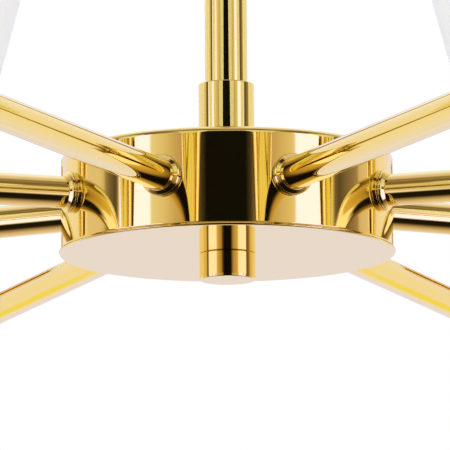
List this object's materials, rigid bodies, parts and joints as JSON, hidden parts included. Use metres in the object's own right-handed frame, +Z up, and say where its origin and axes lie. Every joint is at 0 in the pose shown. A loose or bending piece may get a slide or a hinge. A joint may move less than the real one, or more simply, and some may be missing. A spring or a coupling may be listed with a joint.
{
  "type": "multi arm chandelier",
  "caption": "Ceiling chandelier: a round polished gold hub on a stem under a swivel canopy, with straight radial arms that carry upright lamps in opal cone shades.",
  "frame": {"origin": "centre of the face that meets the ceiling, on the axis of the stem", "axes": "+Z up along the stem, +X along the ceiling bracket and its two slots, arms at 22.5 degrees and every 45 degrees from +X"},
  "size_m": [0.8918, 0.8918, 0.6472],
  "materials": {
    "gold": "mirror polished, gold plated and lacquered",
    "zinc_steel": "zinc plated",
    "white_plastic": "moulded, satin",
    "white_flex": "smooth sheath",
    "opal_glass": "opal, acid etched to a matt white",
    "bulb_lens": "frosted lens on a white base"
  },
  "bodies": {
    "ceiling": {"ceiling_bracket": "zinc_steel", "bracket_nipple": "zinc_steel", "swivel_socket": "gold", "socket_cap": "gold", "ceiling_terminal": "white_plastic", "ceiling_lead": "white_flex"},
    "canopy_cup": {"canopy": "gold", "canopy_ring": "gold"},
    "swivel": {"swivel_ring": "zinc_steel", "trunnion_pins": "zinc_steel"},
    "drop": {"swivel_ball": "gold", "top_sleeve": "gold", "stem": "gold", "hub_sleeve": "gold", "stem_cable": "white_flex", "hub_body": "gold", "centre_rod": "zinc_steel", "rod_nuts": "zinc_steel", "hub_terminal": "white_plastic", "arm_collars": "gold", "arm_nipples": "zinc_steel", "arm_nuts": "zinc_steel", "arm_wires": "white_flex", "holder_cups": "gold", "shade_seats": "gold", "lampholders": "white_plastic", "arm_1": "gold", "arm_2": "gold", "arm_3": "gold", "arm_4": "gold", "arm_5": "gold", "arm_6": "gold", "arm_7": "gold", "arm_8": "gold"},
    "hub_cover": {"hub_bottom_plate": "gold", "finial": "gold"},
    "shade_body_1": {"shade_1": "opal_glass", "shade_ring_1": "white_plastic"},
    "bulb_body_1": {"bulb_1": "bulb_lens"},
    "shade_body_2": {"shade_2": "opal_glass", "shade_ring_2": "white_plastic"},
    "bulb_body_2": {"bulb_2": "bulb_lens"},
    "shade_body_3": {"shade_3": "opal_glass", "shade_ring_3": "white_plastic"},
    "bulb_body_3": {"bulb_3": "bulb_lens"},
    "shade_body_4": {"shade_4": "opal_glass", "shade_ring_4": "white_plastic"},
    "bulb_body_4": {"bulb_4": "bulb_lens"},
    "shade_body_5": {"shade_5": "opal_glass", "shade_ring_5": "white_plastic"},
    "bulb_body_5": {"bulb_5": "bulb_lens"},
    "shade_body_6": {"shade_6": "opal_glass", "shade_ring_6": "white_plastic"},
    "bulb_body_6": {"bulb_6": "bulb_lens"},
    "shade_body_7": {"shade_7": "opal_glass", "shade_ring_7": "white_plastic"},
    "bulb_body_7": {"bulb_7": "bulb_lens"},
    "shade_body_8": {"shade_8": "opal_glass", "shade_ring_8": "white_plastic"},
    "bulb_body_8": {"bulb_8": "bulb_lens"}
  },
  "joints": [
    {"name": "canopy_lower", "type": "slide", "parent": "ceiling", "child": "canopy_cup", "axis": [0, 0, -1], "range_m": [0, 0.04]},
    {"name": "swivel_turn", "type": "hinge", "parent": "ceiling", "child": "swivel", "pos_m": [0, 0, -0.024], "axis": [0, 0, 1], "range_deg": [-170, 170]},
    {"name": "drop_swing", "type": "hinge", "parent": "swivel", "child": "drop", "pos_m": [0, 0, -0.024], "axis": [1, 0, 0], "range_deg": [-10, 10]},
    {"name": "cover_lower", "type": "slide", "parent": "drop", "child": "hub_cover", "axis": [0, 0, -1], "range_m": [0, 0.06]},
    {"name": "shade_1_lift", "type": "slide", "parent": "drop", "child": "shade_body_1", "axis": [0.0113, 0.0047, 0.9999], "range_m": [0, 0.08]},
    {"name": "shade_2_lift", "type": "slide", "parent": "drop", "child": "shade_body_2", "axis": [0.0047, 0.0113, 0.9999], "range_m": [0, 0.08]},
    {"name": "shade_3_lift", "type": "slide", "parent": "drop", "child": "shade_body_3", "axis": [-0.0047, 0.0113, 0.9999], "range_m": [0, 0.08]},
    {"name": "shade_4_lift", "type": "slide", "parent": "drop", "child": "shade_body_4", "axis": [-0.0113, 0.0047, 0.9999], "range_m": [0, 0.08]},
    {"name": "shade_5_lift", "type": "slide", "parent": "drop", "child": "shade_body_5", "axis": [-0.0113, -0.0047, 0.9999], "range_m": [0, 0.08]},
    {"name": "shade_6_lift", "type": "slide", "parent": "drop", "child": "shade_body_6", "axis": [-0.0047, -0.0113, 0.9999], "range_m": [0, 0.08]},
    {"name": "shade_7_lift", "type": "slide", "parent": "drop", "child": "shade_body_7", "axis": [0.0047, -0.0113, 0.9999], "range_m": [0, 0.08]},
    {"name": "shade_8_lift", "type": "slide", "parent": "drop", "child": "shade_body_8", "axis": [0.0113, -0.0047, 0.9999], "range_m": [0, 0.08]},
    {"name": "bulb_1_lift", "type": "slide", "parent": "drop", "child": "bulb_body_1", "axis": [0.0113, 0.0047, 0.9999], "range_m": [0, 0.19]},
    {"name": "bulb_2_lift", "type": "slide", "parent": "drop", "child": "bulb_body_2", "axis": [0.0047, 0.0113, 0.9999], "range_m": [0, 0.19]},
    {"name": "bulb_3_lift", "type": "slide", "parent": "drop", "child": "bulb_body_3", "axis": [-0.0047, 0.0113, 0.9999], "range_m": [0, 0.19]},
    {"name": "bulb_4_lift", "type": "slide", "parent": "drop", "child": "bulb_body_4", "axis": [-0.0113, 0.0047, 0.9999], "range_m": [0, 0.19]},
    {"name": "bulb_5_lift", "type": "slide", "parent": "drop", "child": "bulb_body_5", "axis": [-0.0113, -0.0047, 0.9999], "range_m": [0, 0.19]},
    {"name": "bulb_6_lift", "type": "slide", "parent": "drop", "child": "bulb_body_6", "axis": [-0.0047, -0.0113, 0.9999], "range_m": [0, 0.19]},
    {"name": "bulb_7_lift", "type": "slide", "parent": "drop", "child": "bulb_body_7", "axis": [0.0047, -0.0113, 0.9999], "range_m": [0, 0.19]},
    {"name": "bulb_8_lift", "type": "slide", "parent": "drop", "child": "bulb_body_8", "axis": [0.0113, -0.0047, 0.9999], "range_m": [0, 0.19]}
  ]
}
